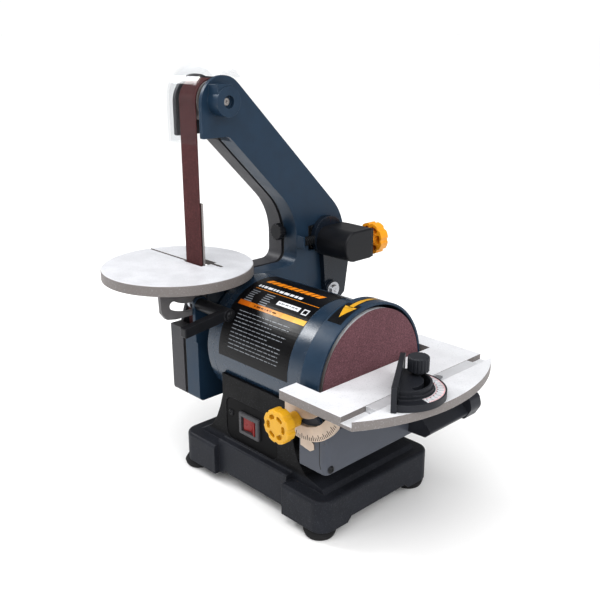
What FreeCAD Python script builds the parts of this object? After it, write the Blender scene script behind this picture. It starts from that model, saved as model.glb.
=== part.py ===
"""Bench belt grinder: 25 x 762 mm belt and 127 mm disc on one motor.

Every shape is drawn from the motor axis, with X = 0 at the face of the abrasive disc, and the
three shift cells of the sheet move it so that the origin is under the middle of the machine.
+X points to the disc, -Y to the operator and +Z up. Lengths are millimetres.
"""
import FreeCAD, Part
import Sketcher
import math
import os

Vector = FreeCAD.Vector
os.makedirs("parts", exist_ok=True)
doc = FreeCAD.newDocument("BeltGrinder")

# ---------------------------------------------------------------- sizes

DRIVING = {
    "shift_x": 96.5, "shift_y": -15.5, "axis_height": 134.5,
    "disc_radius": 63.5, "guard_radius": 68.6, "guard_depth": 24.5, "motor_radius": 61.8,
    "motor_right": -26.4, "motor_bell": -46.2, "can_left": -150.5, "bell_left": -163.5,
    "shaft_radius": 6, "foot_radius": 15, "foot_height": 9.5,
    "base_left": -190, "base_right": 12, "base_half": 76, "base_corner": 14,
    "rim_level": -94, "skirt_bottom": -125, "pedestal_half": 62, "pedestal_top": -20,
    "arm_left": -222.5, "arm_right": -177.5, "seam_left": -202, "seam_right": -197.5,
    "wall": 3, "plate": 4,
    "belt_x": -200, "belt_width": 25.4, "belt_thick": 0.9, "belt_gap": 0.3,
    "drive_radius": 43.8, "top_radius": 19.3, "rear_radius": 18.8,
    "top_across": -24.5, "top_level": 232, "rear_across": 117.5, "rear_level": 80,
    "lever_across": 120.7, "lever_level": 17.9,
    "belt_table_x": -208, "belt_table_across": -59, "belt_table_radius": 75,
    "belt_table_top": 74.3, "belt_tilt_across": -66, "belt_tilt_radius": 36.5,
    "lock_across": -56.5, "lock_level": 39.1,
    "disc_table_top": 10.3, "disc_table_thick": 8, "disc_table_half": 94,
    "disc_table_left": -22.3, "disc_table_inner": 6.3, "notch_half": 73.3,
    "slot_left": 49, "slot_right": 61, "slot_depth": 5,
    "disc_tilt_x": -12.5, "disc_tilt_radius": 31.5, "stud_x": -18.5, "stud_level": -20.6,
    "box_right": 12.5, "box_half": 72, "box_bottom": -68,
    "miter_x": 55, "miter_across": -26, "miter_radius": 36, "miter_knob_reach": 19.5,
}
sheet = doc.addObject("Spreadsheet::Sheet", "Sizes")
for row, (alias, number) in enumerate(DRIVING.items(), start=1):
    sheet.set(f"A{row}", alias)
    sheet.set(f"B{row}", str(number))
    sheet.setAlias(f"B{row}", alias)
doc.recompute()


class Size:
    """A number together with the sheet formula that gives it."""

    def __init__(self, value, formula):
        self.value = value
        self.formula = formula

    def __float__(self):
        return float(self.value)

    def join(self, other, sign, value, flipped=False):
        text = other.formula if isinstance(other, Size) else str(other)
        pair = (text, self.formula) if flipped else (self.formula, text)
        return Size(value, f"({pair[0]} {sign} {pair[1]})")

    def __add__(self, other):
        return self.join(other, "+", self.value + float(other))

    def __radd__(self, other):
        return self.join(other, "+", float(other) + self.value, flipped=True)

    def __sub__(self, other):
        return self.join(other, "-", self.value - float(other))

    def __rsub__(self, other):
        return self.join(other, "-", float(other) - self.value, flipped=True)

    def __mul__(self, other):
        return self.join(other, "*", self.value * float(other))

    def __truediv__(self, other):
        return self.join(other, "/", self.value / float(other))

    def __neg__(self):
        return Size(-self.value, f"(0 - {self.formula})")


def cell(alias):
    return Size(float(sheet.get(alias)), f"Sizes.{alias}")


S = {alias: cell(alias) for alias in DRIVING}
nodes = []


def bind(thing, name, value):
    """Ties a property to the sheet when the value is a Size."""
    if isinstance(value, Size):
        thing.setExpression(name, value.formula)


def place(thing, at=(0, 0, 0)):
    """Puts a sub-part in the machine's frame, at a point measured from the motor axis."""
    shifts = (S["shift_x"], S["shift_y"], S["axis_height"])
    total = [shift + step for shift, step in zip(shifts, at)]
    thing.Placement = FreeCAD.Placement(Vector(*map(float, total)), thing.Placement.Rotation)
    for axis, value in zip("xyz", total):
        bind(thing, f"Placement.Base.{axis}", value)


def node(thing, name, at=(0, 0, 0)):
    """Registers a finished sub-part under the name of its file."""
    thing.Label = name
    place(thing, at)
    nodes.append(thing)
    return thing


# ---------------------------------------------------------------- sketches

ROLES = {"XY": "XY_Plane", "XZ": "XZ_Plane", "YZ": "YZ_Plane"}


def new_body(name):
    return doc.addObject("PartDesign::Body", f"{name}_body")


def new_sketch(body, plane, level):
    """A sketch parallel to an origin plane of its body. XZ sketches face -Y."""
    origin = next(f for f in body.Origin.OriginFeatures if f.Role == ROLES[plane])
    sketch = body.newObject("Sketcher::SketchObject", "Sketch")
    sketch.AttachmentSupport = (origin, [""])
    sketch.MapMode = "FlatFace"
    lift = -level if plane == "XZ" else level
    sketch.AttachmentOffset = FreeCAD.Placement(Vector(0, 0, float(lift)), FreeCAD.Rotation())
    bind(sketch, "AttachmentOffset.Base.z", lift)
    return sketch


def pin(sketch, kind, geometry, point, value):
    """Fixes one coordinate of a sketch point."""
    number = sketch.addConstraint(
        Sketcher.Constraint(kind, -1, 1, geometry, point, float(value)))
    bind(sketch, f"Constraints[{number}]", value)


def polygon(*points):
    """Closed outline of straight sides."""
    def draw(sketch):
        first = sketch.GeometryCount
        corners = [Vector(float(a), float(b), 0) for a, b in points]
        count = len(corners)
        sides = [Part.LineSegment(corners[i], corners[(i + 1) % count]) for i in range(count)]
        sketch.addGeometry(sides, False)
        for i, (across, up) in enumerate(points):
            sketch.addConstraint(
                Sketcher.Constraint("Coincident", first + i, 2, first + (i + 1) % count, 1))
            pin(sketch, "DistanceX", first + i, 1, across)
            pin(sketch, "DistanceY", first + i, 1, up)
    return draw


def rectangle(left, right, low, high):
    return polygon((left, low), (right, low), (right, high), (left, high))


def circle(across, up, radius):
    def draw(sketch):
        number = sketch.addGeometry(
            Part.Circle(Vector(float(across), float(up), 0), Vector(0, 0, 1), float(radius)), False)
        pin(sketch, "DistanceX", number, 3, across)
        pin(sketch, "DistanceY", number, 3, up)
        rim = sketch.addConstraint(Sketcher.Constraint("Radius", number, float(radius)))
        bind(sketch, f"Constraints[{rim}]", radius)
    return draw


def arc_slot(across, up, radius, half, start, end):
    """Slot of a given half width along an arc, with round ends. Angles are degrees."""
    def draw(sketch):
        middle = Vector(float(across), float(up), 0)
        low, high = math.radians(start), math.radians(end)
        first = sketch.GeometryCount
        for rim in (float(radius) + half, float(radius) - half):
            whole = Part.Circle(middle, Vector(0, 0, 1), rim)
            sketch.addGeometry(Part.ArcOfCircle(whole, low, high), False)
        for angle, turn in ((high, 0), (low, math.pi)):
            spot = middle + Vector(math.cos(angle), math.sin(angle), 0) * float(radius)
            cap = Part.Circle(spot, Vector(0, 0, 1), half)
            sketch.addGeometry(Part.ArcOfCircle(cap, angle + turn, angle + turn + math.pi), False)
        for i in range(4):
            sketch.addConstraint(Sketcher.Constraint("Block", first + i))
    return draw


def arc_band(across, up, inner, outer, start, end):
    """Flat ring sector with square ends. Angles are degrees."""
    def draw(sketch):
        middle = Vector(float(across), float(up), 0)
        low, high = math.radians(start), math.radians(end)
        first = sketch.GeometryCount
        for rim in (inner, outer):
            whole = Part.Circle(middle, Vector(0, 0, 1), rim)
            sketch.addGeometry(Part.ArcOfCircle(whole, low, high), False)
        for angle in (low, high):
            ray = Vector(math.cos(angle), math.sin(angle), 0)
            sketch.addGeometry(Part.LineSegment(middle + ray * inner, middle + ray * outer), False)
        for i in range(4):
            sketch.addConstraint(Sketcher.Constraint("Block", first + i))
    return draw


def cross(reach, half):
    """Outline of a cross-shaped driver recess."""
    corners = []
    for a, b in ((1, 0), (0, 1), (-1, 0), (0, -1)):
        for side in (-1, 1):
            corners.append((a * reach - side * b * half, b * reach + side * a * half))
        corners.append(((a - b) * half, (a + b) * half))
    return polygon(*corners)


def rounded_sides(corners):
    """Lines and arcs round (across, up, radius) corners, as flat geometry."""
    count = len(corners)
    spots = [Vector(float(a), float(b), 0) for a, b, r in corners]
    starts, ends, bends = [], [], []
    for i, (a, b, radius) in enumerate(corners):
        back = (spots[i - 1] - spots[i]).normalize()
        ahead = (spots[(i + 1) % count] - spots[i]).normalize()
        half = back.getAngle(ahead) / 2
        reach = radius / math.tan(half)
        starts.append(spots[i] + back * reach)
        ends.append(spots[i] + ahead * reach)
        inward = (back + ahead).normalize()
        bends.append(spots[i] + inward * (radius / math.sin(half) - radius))
    sides = []
    for i, (a, b, radius) in enumerate(corners):
        if radius:
            sides.append(Part.Arc(starts[i], bends[i], ends[i]))
        gap = starts[(i + 1) % count] - ends[i]
        if gap.Length > 0.01:
            sides.append(Part.LineSegment(ends[i], starts[(i + 1) % count]))
    return sides


def rounded(corners):
    """Closed outline with rounded corners."""
    def draw(sketch):
        for side in rounded_sides(corners):
            number = sketch.addGeometry(side, False)
            sketch.addConstraint(Sketcher.Constraint("Block", number))
    return draw


def inset(corners, depth):
    """The same outline moved inwards; its corners run anticlockwise."""
    count = len(corners)
    moved = []
    for i, (a, b, radius) in enumerate(corners):
        before = Vector(*corners[i - 1][:2], 0)
        here = Vector(a, b, 0)
        after = Vector(*corners[(i + 1) % count][:2], 0)
        first = (here - before).normalize()
        second = (after - here).normalize()
        turn_ = first.x * second.y - first.y * second.x
        mean = (Vector(-first.y, first.x, 0) + Vector(-second.y, second.x, 0)).normalize()
        stretch = depth / (mean.x * -first.y + mean.y * first.x)
        spot = here + mean * stretch
        new_radius = radius - depth if turn_ > 0 else radius + depth
        moved.append((spot.x, spot.y, max(new_radius, 0) if radius else 0))
    return moved


# ---------------------------------------------------------------- features

def prism(body, plane, low, high, *shapes):
    """Pads outlines between two levels of the plane's normal axis."""
    sketch = new_sketch(body, plane, high if plane == "XZ" else low)
    for draw in shapes:
        draw(sketch)
    pad = body.newObject("PartDesign::Pad", "Pad")
    pad.Profile = sketch
    pad.Length = float(high) - float(low)
    if isinstance(high, Size) or isinstance(low, Size):
        bind(pad, "Length", (high if isinstance(high, Size) else Size(high, str(high))) - low)
    doc.recompute()
    return pad


def carve(body, plane, low, high, *shapes):
    """Pockets outlines between two levels, and checks that they removed something."""
    before = body.Shape.Volume
    sketch = new_sketch(body, plane, low if plane == "XZ" else high)
    for draw in shapes:
        draw(sketch)
    pocket = body.newObject("PartDesign::Pocket", "Pocket")
    pocket.Profile = sketch
    pocket.Length = float(high) - float(low)
    if isinstance(high, Size) or isinstance(low, Size):
        bind(pocket, "Length", (high if isinstance(high, Size) else Size(high, str(high))) - low)
    doc.recompute()
    if body.Shape.Volume >= before - 1e-6:
        raise RuntimeError(f"{body.Name}: a pocket cut nothing")
    return pocket


def turn(body, plane, axis, *shapes, cut=False):
    """Revolves outlines about the sketch's horizontal (H) or vertical (V) axis."""
    sketch = new_sketch(body, plane, 0)
    for draw in shapes:
        draw(sketch)
    kind = "PartDesign::Groove" if cut else "PartDesign::Revolution"
    feature = body.newObject(kind, "Turned")
    feature.Profile = sketch
    feature.ReferenceAxis = (sketch, [f"{axis}_Axis"])
    feature.Angle = 360
    doc.recompute()
    return feature


def polar(body, feature, role, count):
    """Repeats a pocket round one of the body's own axes."""
    axis = next(f for f in body.Origin.OriginFeatures if f.Role == role)
    pattern = body.newObject("PartDesign::PolarPattern", "Around")
    pattern.Originals = [feature]
    pattern.Axis = (axis, [""])
    pattern.Angle = 360
    pattern.Occurrences = count
    body.Tip = pattern
    doc.recompute()
    return sound(body, pattern)


def sound(body, feature):
    """Stops at once when a feature failed."""
    if "Invalid" in feature.State or "Error" in feature.State or not feature.Shape.isValid():
        raise RuntimeError(f"{body.Name}: {feature.Name} failed")
    return feature


def edges(shape, test):
    """Names of the edges whose middle point and direction pass the test."""
    names = []
    for number, edge in enumerate(shape.Edges, start=1):
        middle = edge.valueAt((edge.FirstParameter + edge.LastParameter) / 2)
        along = edge.tangentAt((edge.FirstParameter + edge.LastParameter) / 2)
        if test(middle, along, edge):
            names.append(f"Edge{number}")
    return names


def dress(body, kind, size, test):
    """Fillets or chamfers the edges that pass the test."""
    base = body.Tip
    feature = body.newObject(f"PartDesign::{kind}", kind)
    feature.Base = (base, edges(base.Shape, test))
    if kind == "Fillet":
        feature.Radius = float(size)
    else:
        feature.Size = float(size)
    doc.recompute()
    return sound(body, feature)


def along_x(middle, along, edge):
    return abs(along.x) > 0.999 and edge.Length > 1


# ---------------------------------------------------------------- primitives

TURNS = {"X": FreeCAD.Rotation(Vector(0, 1, 0), 90), "Y": FreeCAD.Rotation(Vector(1, 0, 0), -90),
         "Z": FreeCAD.Rotation()}


def rod(axis, start, radius, length):
    """Part::Cylinder from a start point along +X, +Y or +Z. A node's own rod starts at zero."""
    thing = doc.addObject("Part::Cylinder", "Rod")
    thing.Radius = float(radius)
    thing.Height = float(length)
    bind(thing, "Radius", radius)
    bind(thing, "Height", length)
    thing.Placement = FreeCAD.Placement(Vector(*map(float, start)), TURNS[axis])
    for letter, value in zip("xyz", start):
        bind(thing, f"Placement.Base.{letter}", value)
    return thing


def minus(base, tool):
    """Part::Cut of one solid by another."""
    cut = doc.addObject("Part::Cut", "Cut")
    cut.Base = base
    cut.Tool = tool
    doc.recompute()
    return cut


def ring(axis, start, outer, inner, length):
    """Tube along an axis."""
    step = {"X": (1, 0, 0), "Y": (0, 1, 0), "Z": (0, 0, 1)}[axis]
    early = [value - unit for value, unit in zip(start, step)]
    return minus(rod(axis, start, outer, length), rod(axis, early, inner, float(length) + 2))


def pan_screw(name, axis, start, head, length, thread=2.0, facing=1):
    """Pan-head screw whose head stands on the start point, with a cross recess."""
    thing = new_body(name)
    rise = head * 0.55
    sign = facing
    turn(thing, {"X": "XZ", "Y": "YZ"}[axis], "H", polygon(*[(a * sign, b) for a, b in (
        (-length, 0), (0.8 * rise, 0), (0.8 * rise, 0.6 * head), (0.4 * rise, 0.9 * head),
        (0, head), (0, thread), (-length, thread))]))
    bottom, mouth = sorted((0.3 * rise * sign, (0.8 * rise + 1) * sign))
    carve(thing, {"X": "YZ", "Y": "XZ"}[axis], bottom, mouth, cross(0.5 * head, 0.11 * head))
    return node(thing, name, start)


# ---------------------------------------------------------------- base and pedestal

def base_casting():
    left, right, half = S["base_left"], S["base_right"], S["base_half"]
    body = new_body("base")
    prism(body, "XY", S["skirt_bottom"], S["rim_level"], rectangle(left, right, -half, half))
    dress(body, "Fillet", S["base_corner"], lambda m, t, e: abs(t.z) > 0.99)
    dress(body, "Fillet", 3.5, lambda m, t, e: m.z > float(S["rim_level"]) - 0.1)
    # Pedestal with flared ends, saddle under the motor and a deck that joins it to the rim.
    flare = polygon((left + 10, -95), (right - 10, -95), (right - 14, -90), (-24, -84), (-34, -72),
                    (-39, -56), (-41, -38), (-41, S["pedestal_top"]), (-139, S["pedestal_top"]),
                    (-139, -43), (-144, -58), (-150, -71), (-158, -82), (-170, -90),
                    (left + 14, -93))
    prism(body, "XZ", -S["pedestal_half"], S["pedestal_half"], flare)
    long_rim = rectangle(-138, -40, -70, 70)
    prism(body, "XY", -96, -88, long_rim)
    dress(body, "Fillet", 2, lambda m, t, e: abs(m.z + 88) < 0.1 and abs(t.x) > 0.99)
    for side in (-1, 1):
        edge = side * 76.5
        inner = side * 70
        low, high = min(edge, inner), max(edge, inner)
        carve(body, "XY", -126, -86, rectangle(-138, -40, low, high))
    carve(body, "YZ", -164, -26, circle(0, 0, S["motor_radius"] + 0.1))
    # Hollow underside, feet bosses and the arches between the feet.
    carve(body, "XY", -126, -99, rectangle(left + 6, right - 6, -64, 64))
    carve(body, "XY", -100, -72, rectangle(-126, -54, -50, 50))
    for x in (-181.3, -4.6):
        for y in (-62, 62):
            prism(body, "XY", S["skirt_bottom"], -97, circle(x, y, 9))
    for x in (-181.3, -4.6):
        for y in (-62, 62):
            carve(body, "XY", -126, -112, circle(x, y, 2.1))
    arch_x = polygon((-44, -126), (-38, -120), (38, -120), (44, -126))
    carve(body, "YZ", left - 1, right + 1, arch_x)
    arch_y = polygon((-134, -126), (-130, -121.5), (-48, -121.5), (-44, -126))
    carve(body, "XZ", -77, 77, arch_y)
    # Recess for the switch plate, the hole behind it and the screw holes.
    carve(body, "XZ", -S["pedestal_half"] - 1, -S["pedestal_half"] + 2.5,
          rectangle(-134, -60, -86, -42))
    dress(body, "Fillet", 9, lambda m, t, e: abs(t.y) > 0.99 and 2 < e.Length < 3
          and -87 < m.z < -41)
    carve(body, "XZ", -60, -49, rectangle(-114, -84, -75, -51))
    carve(body, "XZ", -60, -50, circle(-127, -58, 1.6), circle(-67, -58, 1.6))
    return node(body, "base_casting")


def rubber_foot(name, x, y):
    body = new_body(name)
    low = -S["axis_height"]
    top = S["skirt_bottom"]
    turn(body, "XZ", "V", polygon((0, low), (12.5, low), (S["foot_radius"] - 1.2, low + 1.5),
                                  (S["foot_radius"], low + 5), (S["foot_radius"] - 2.5, top),
                                  (0, top)))
    carve(body, "XY", low - 1, low + 4.5, circle(0, 0, 5))
    carve(body, "XY", low, top + 1, circle(0, 0, 2.1))
    return node(body, name, (x, y, 0))


def switch_group():
    front = -S["pedestal_half"]
    plate = new_body("switch_plate")
    prism(plate, "XZ", front + 0.5, front + 2.5, rectangle(-133.7, -60.3, -85.7, -42.3))
    dress(plate, "Fillet", 8.7, lambda m, t, e: abs(t.y) > 0.99)
    carve(plate, "XZ", front, front + 3, rectangle(-111.5, -86.5, -72.5, -53.5),
          circle(-127, -58, 1.6), circle(-67, -58, 1.6))
    node(plate, "switch_plate")
    bezel = new_body("switch_bezel")
    prism(bezel, "XZ", front - 2.2, front + 0.5, rectangle(-113.5, -84.5, -74.5, -51.5))
    dress(bezel, "Fillet", 1.6, lambda m, t, e: m.y < float(front) - 2.1 or abs(t.y) > 0.99)
    prism(bezel, "XZ", front, front + 12.8, rectangle(-111.4, -86.6, -72.4, -53.6))
    carve(bezel, "XZ", front - 3, front + 9, rectangle(-109.5, -88.5, -70.5, -55.5))
    carve(bezel, "XY", -72.1, -53.9, circle(-99, front + 2.5, 1.05))
    node(bezel, "switch_bezel")
    # The rocker turns on a vertical pin and rests pressed in at its left end.
    rocker = new_body("switch_rocker")
    prism(rocker, "XY", -7.2, 7.2, polygon((-9.6, 3), (-9.6, -1.0), (0, 0.9), (8.8, -3.9),
                                            (9.8, 2.4), (3, 4.6), (-3, 4.6)))
    dress(rocker, "Fillet", 0.6, lambda m, t, e: abs(t.z) > 0.99 and m.y < 0)
    prism(rocker, "XY", -8.6, 8.6, circle(0, 1.6, 1))
    node(rocker, "switch_rocker", (-99, front + 0.9, -63))
    for side, x in (("left", -127), ("right", -67)):
        pan_screw(f"switch_screw_{side}", "Y", (x, front + 0.5, -58), 3.4, 8, 1.5, facing=-1)


base_casting()
for word_x, foot_x in (("left", -181.3), ("right", -4.6)):
    for word_y, foot_y in (("front", -62), ("rear", 62)):
        rubber_foot(f"foot_{word_y}_{word_x}", foot_x, foot_y)
switch_group()


# ---------------------------------------------------------------- motor

def motor_group():
    outer = S["motor_radius"]
    node(ring("X", (S["can_left"], 0, 0), outer, outer - 2, S["motor_bell"] - S["can_left"]),
         "motor_can")
    right = new_body("bell_right")
    front, back = S["motor_right"], S["motor_bell"]
    turn(right, "XZ", "H", polygon(
        (back, outer), (front - 2, outer), (front, outer - 2), (front, 9), (front - 3, 9),
        (front - 3, 13), (front - 15, 13), (front - 15, 17), (front - 4, 18),
        (front - 4, outer - 3), (back, outer - 3)))
    for k in range(8):
        angle = math.radians(22.5 + 45 * k)
        carve(right, "YZ", -33, -25, circle(40 * math.cos(angle), 40 * math.sin(angle), 6))
    node(right, "motor_bell_right")
    left = new_body("bell_left")
    front, back = S["can_left"], S["bell_left"]
    end = S["arm_right"]
    turn(left, "XZ", "H", polygon(
        (front, outer), (back + 3, outer), (back, outer - 3), (back, 26), (end, 26), (end, 13),
        (back - 2, 13), (back - 2, 9), (back + 3, 9), (back + 3, outer - 3), (front, outer - 3)))
    for k in range(8):
        angle = math.radians(22.5 + 45 * k)
        carve(left, "YZ", -165, -159, circle(42 * math.cos(angle), 42 * math.sin(angle), 6))
    node(left, "motor_bell_left")
    node(ring("X", (-122, 0, 0), outer - 2.05, 38.5, 44), "motor_stator")
    rotor = new_body("rotor")
    turn(rotor, "XZ", "H", polygon((-216, 0), (-216, 5), (-215, 6), (-122, 6), (-122, 37.5),
                                   (-78, 37.5), (-78, 6), (-4, 6), (-3, 5), (-3, 0)))
    node(rotor, "motor_rotor")
    for side, x in (("right", -40.8), ("left", -177.2)):
        node(ring("X", (x, 0, 0), 12.97, S["shaft_radius"] + 0.03, 11), f"motor_bearing_{side}")


# ---------------------------------------------------------------- disc side

def disc_group():
    radius = S["disc_radius"]
    plate = new_body("disc_plate")
    turn(plate, "XZ", "H", polygon(
        (-1.2, 6.03), (-1.2, radius - 1), (-2, radius - 0.5), (-7, radius - 0.5), (-7, 56),
        (-5, 54), (-5, 20), (-9, 16), (-22, 15), (-22, 6.03)))
    node(plate, "disc_plate")
    node(rod("X", (0, 0, 0), radius, 1.2), "abrasive_disc", (-1.2, 0, 0))
    rim = S["guard_radius"]
    guard = new_body("disc_guard")
    back = S["motor_right"]
    turn(guard, "XZ", "H", polygon(
        (back, 24), (back, 63.5), (back + 1, 65.5), (back + 3, rim), (back + S["guard_depth"], rim),
        (back + S["guard_depth"], rim - 2.2), (back + 4, rim - 2.2), (back + 2.4, 64),
        (back + 2.4, 24)))
    carve(guard, "XY", -75, -30, rectangle(-23.9, 0, -75, 75))
    node(guard, "disc_guard")
    half, low, right = S["box_half"], S["box_bottom"], S["box_right"]
    box = new_body("dust_box")
    prism(box, "XY", low, -27, rectangle(-20, right, -half, half))
    dress(box, "Fillet", 6, lambda m, t, e: abs(t.z) > 0.99 and m.x > 10)
    dress(box, "Fillet", 3, lambda m, t, e: m.z < float(low) + 0.1 and m.x > -19)
    inner = float(half) - 2
    carve(box, "XY", low + 2, -26, rounded(
        ((-21, -inner, 0), (float(right) - 2, -inner, 4), (float(right) - 2, inner, 4),
         (-21, inner, 0))))
    for near, far in ((-half, -half + 2), (half - 2, half)):
        tab = polygon((-20, -37), (-26, -31), (-26, -14), (-18, -6), (-2, -6), (0, -8),
                      (0, -14.6), (11, -25.6), (11, -37))
        prism(box, "XZ", near, far, tab)
    for near, far in ((-44, -28), (28, 44)):
        prism(box, "XZ", near, far, polygon((-20, low), (-35.2, low), (-35.8, low + 2),
                                            (-20, low + 2)))
    carve(box, "YZ", 8, 14, rectangle(42, 66, -60, -34))
    carve(box, "XZ", -half - 1, half + 1, circle(S["stud_x"], S["stud_level"], 3.1))
    carve(box, "YZ", 8, 14, circle(-66, -62, 1.7))
    node(box, "dust_box")
    pan_screw("dust_box_screw", "X", (12.5, -66, -62), 3.6, 6, 1.6)
    # The outlet's sloping top leaves room for the tilted table.
    outlet = new_body("dust_outlet")
    prism(outlet, "XZ", 38, 100, polygon((12.5, -32), (15, -32), (38.3, -54.8), (38, -56.5),
                                         (32.5, -62), (12.5, -63)))
    dress(outlet, "Fillet", 2, lambda m, t, e: abs(t.y) > 0.99 and m.x > 30)
    # The port's collar stands behind the table, so it can be deeper.
    collar = ((13, -63.5, 2), (35, -62.5, 4), (42.5, -50, 8), (39, -38, 6), (13, -38, 2))
    prism(outlet, "XZ", 96, 112, rounded(collar))
    carve(outlet, "XZ", 40, 113, polygon((14.5, -34.6), (36, -55.5), (36, -56.3),
                                        (31.7, -60), (14.5, -61)))
    carve(outlet, "XZ", 98, 113, rounded(inset(collar, 2)))
    carve(outlet, "YZ", 12, 16, rectangle(42, 66, -60, -34))
    node(outlet, "dust_outlet")
    pointer = new_body("pointer")
    prism(pointer, "XZ", -half - 0.8, -half, polygon(
        (-18, -37.5), (-6, -38), (-1.5, -41), (-1.5, -46), (-6, -49), (-18, -47)))
    node(pointer, "tilt_pointer")


def disc_table_outline():
    """Straight left side with a notch for the guard, and a bow-shaped right side."""
    half, left = float(S["disc_table_half"]), S["disc_table_left"]
    bow, tip = 61.0, 90.0
    points = [(bow, half), (left, half), (left, S["notch_half"]), (S["disc_table_inner"],
              S["notch_half"]), (S["disc_table_inner"], -S["notch_half"]),
              (left, -S["notch_half"]), (left, -half), (bow, -half)]

    def draw(sketch):
        corners = [Vector(float(a), float(b), 0) for a, b in points]
        sides = [Part.LineSegment(a, b) for a, b in zip(corners, corners[1:])]
        sides.append(Part.Arc(corners[-1], Vector(tip, 0, 0), corners[0]))
        sketch.addGeometry(sides, False)
        for i in range(len(sides)):
            after = (i + 1) % len(sides)
            sketch.addConstraint(Sketcher.Constraint("Coincident", i, 2, after, 1))
        for i, (a, b) in enumerate(points):
            geometry, point = (i, 1) if i < len(points) - 1 else (i - 1, 2)
            pin(sketch, "DistanceX", geometry, point, a)
            pin(sketch, "DistanceY", geometry, point, b)
        bend = (half ** 2 + (tip - bow) ** 2) / (2 * (tip - bow))
        sketch.addConstraint(Sketcher.Constraint("Radius", len(sides) - 1, bend))
    return draw


def trunnion(name, near, far, flange_near, flange_far):
    """Sector plate under the disc table with the slot that the clamp stud rides in."""
    low = S["disc_table_top"] - S["disc_table_thick"]
    body = new_body(name)
    prism(body, "XZ", near, far, circle(S["disc_tilt_x"], S["disc_table_top"], 48))
    carve(body, "XZ", near, far, rectangle(-70, 60, low, 70))
    carve(body, "XZ", near, far, rectangle(-70, -33, -60, 20))
    carve(body, "XZ", near, far, rectangle(29, 50, -60, 20))
    prism(body, "XY", low - 2, low, rectangle(-20, 3, flange_near, flange_far))
    carve(body, "XZ", near, far, arc_slot(S["disc_tilt_x"], S["disc_table_top"],
                                          S["disc_tilt_radius"], 3.6, -102, -30))
    carve(body, "XZ", near, far, circle(-28.5, -2.5, 1.5))
    return node(body, name)


def disc_table_group():
    top = S["disc_table_top"]
    low = top - S["disc_table_thick"]
    table = new_body("disc_table")
    prism(table, "XY", low, top, disc_table_outline())
    carve(table, "XY", top - S["slot_depth"], top + 1,
          rectangle(S["slot_left"], S["slot_right"], -100, 100))
    carve(table, "XY", low - 1, low + 3, rectangle(30, 45, -66, 66))
    carve(table, "XY", low - 1, low + 3, polygon((66, -60), (75, -36), (81, 0), (75, 36), (66, 60)))
    dress(table, "Chamfer", 7.6, lambda m, t, e: abs(t.y) > 0.99 and abs(m.z - float(low)) < 0.1
          and abs(m.x - float(S["disc_table_inner"])) < 0.1)
    dress(table, "Fillet", 1.5, lambda m, t, e: abs(t.z) > 0.99 and abs(m.y) > 93 and m.x < -20)
    node(table, "disc_table")
    trunnion("front_trunnion", -77, -73, -88, -77)
    trunnion("rear_trunnion", 73, 77, 77, 88)
    knob = lobed_knob("table_knob", 15.4, 9, 6.9, 14.6)
    prism(knob, "XZ", -4, 9, circle(0, 0, 3))
    node(knob, "table_knob", (S["stud_x"], -77.6, S["stud_level"]))
    node(rod("Y", (0, 0, 0), 3, 12.5), "rear_trunnion_pin", (S["stud_x"], 67.5, S["stud_level"]))


def lobed_knob(name, radius, depth, hub, reach):
    """Knob on the Y axis whose hub starts at the origin and whose head faces -Y."""
    body = new_body(name)
    prism(body, "XZ", -reach, 0, circle(0, 0, hub))
    prism(body, "XZ", -reach - depth, -reach, circle(0, 0, radius))
    scallop = carve(body, "XZ", -reach - depth, -reach, circle(radius * 1.12, 0, radius * 0.2))
    polar(body, scallop, "Y_Axis", 8)
    dress(body, "Fillet", 1.2, lambda m, t, e: m.y < -reach - depth + 0.1)
    pocket = carve(body, "XZ", -reach - depth - 1, -reach - depth + 3, arc_slot(
        0, 0, radius * 0.6, radius * 0.13, -10, 10))
    polar(body, pocket, "Y_Axis", 6)
    return body


# ---------------------------------------------------------------- miter gauge

FENCE_TURN = 34.2
FENCE_ENDS = (-38.2, 36.8)


def across_fence(along, out):
    """Point at a distance along the fence and behind its pivot, in the machine frame."""
    angle = math.radians(FENCE_TURN)
    x = S["miter_x"] + out * math.cos(angle) - along * math.sin(angle)
    y = S["miter_across"] + out * math.sin(angle) + along * math.cos(angle)
    return x, y


def fence_plan(near, far, front, back):
    """Rectangle square to the fence."""
    corners = ((near, front), (far, front), (far, back), (near, back))
    return polygon(*[across_fence(along, out) for along, out in corners])


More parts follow.
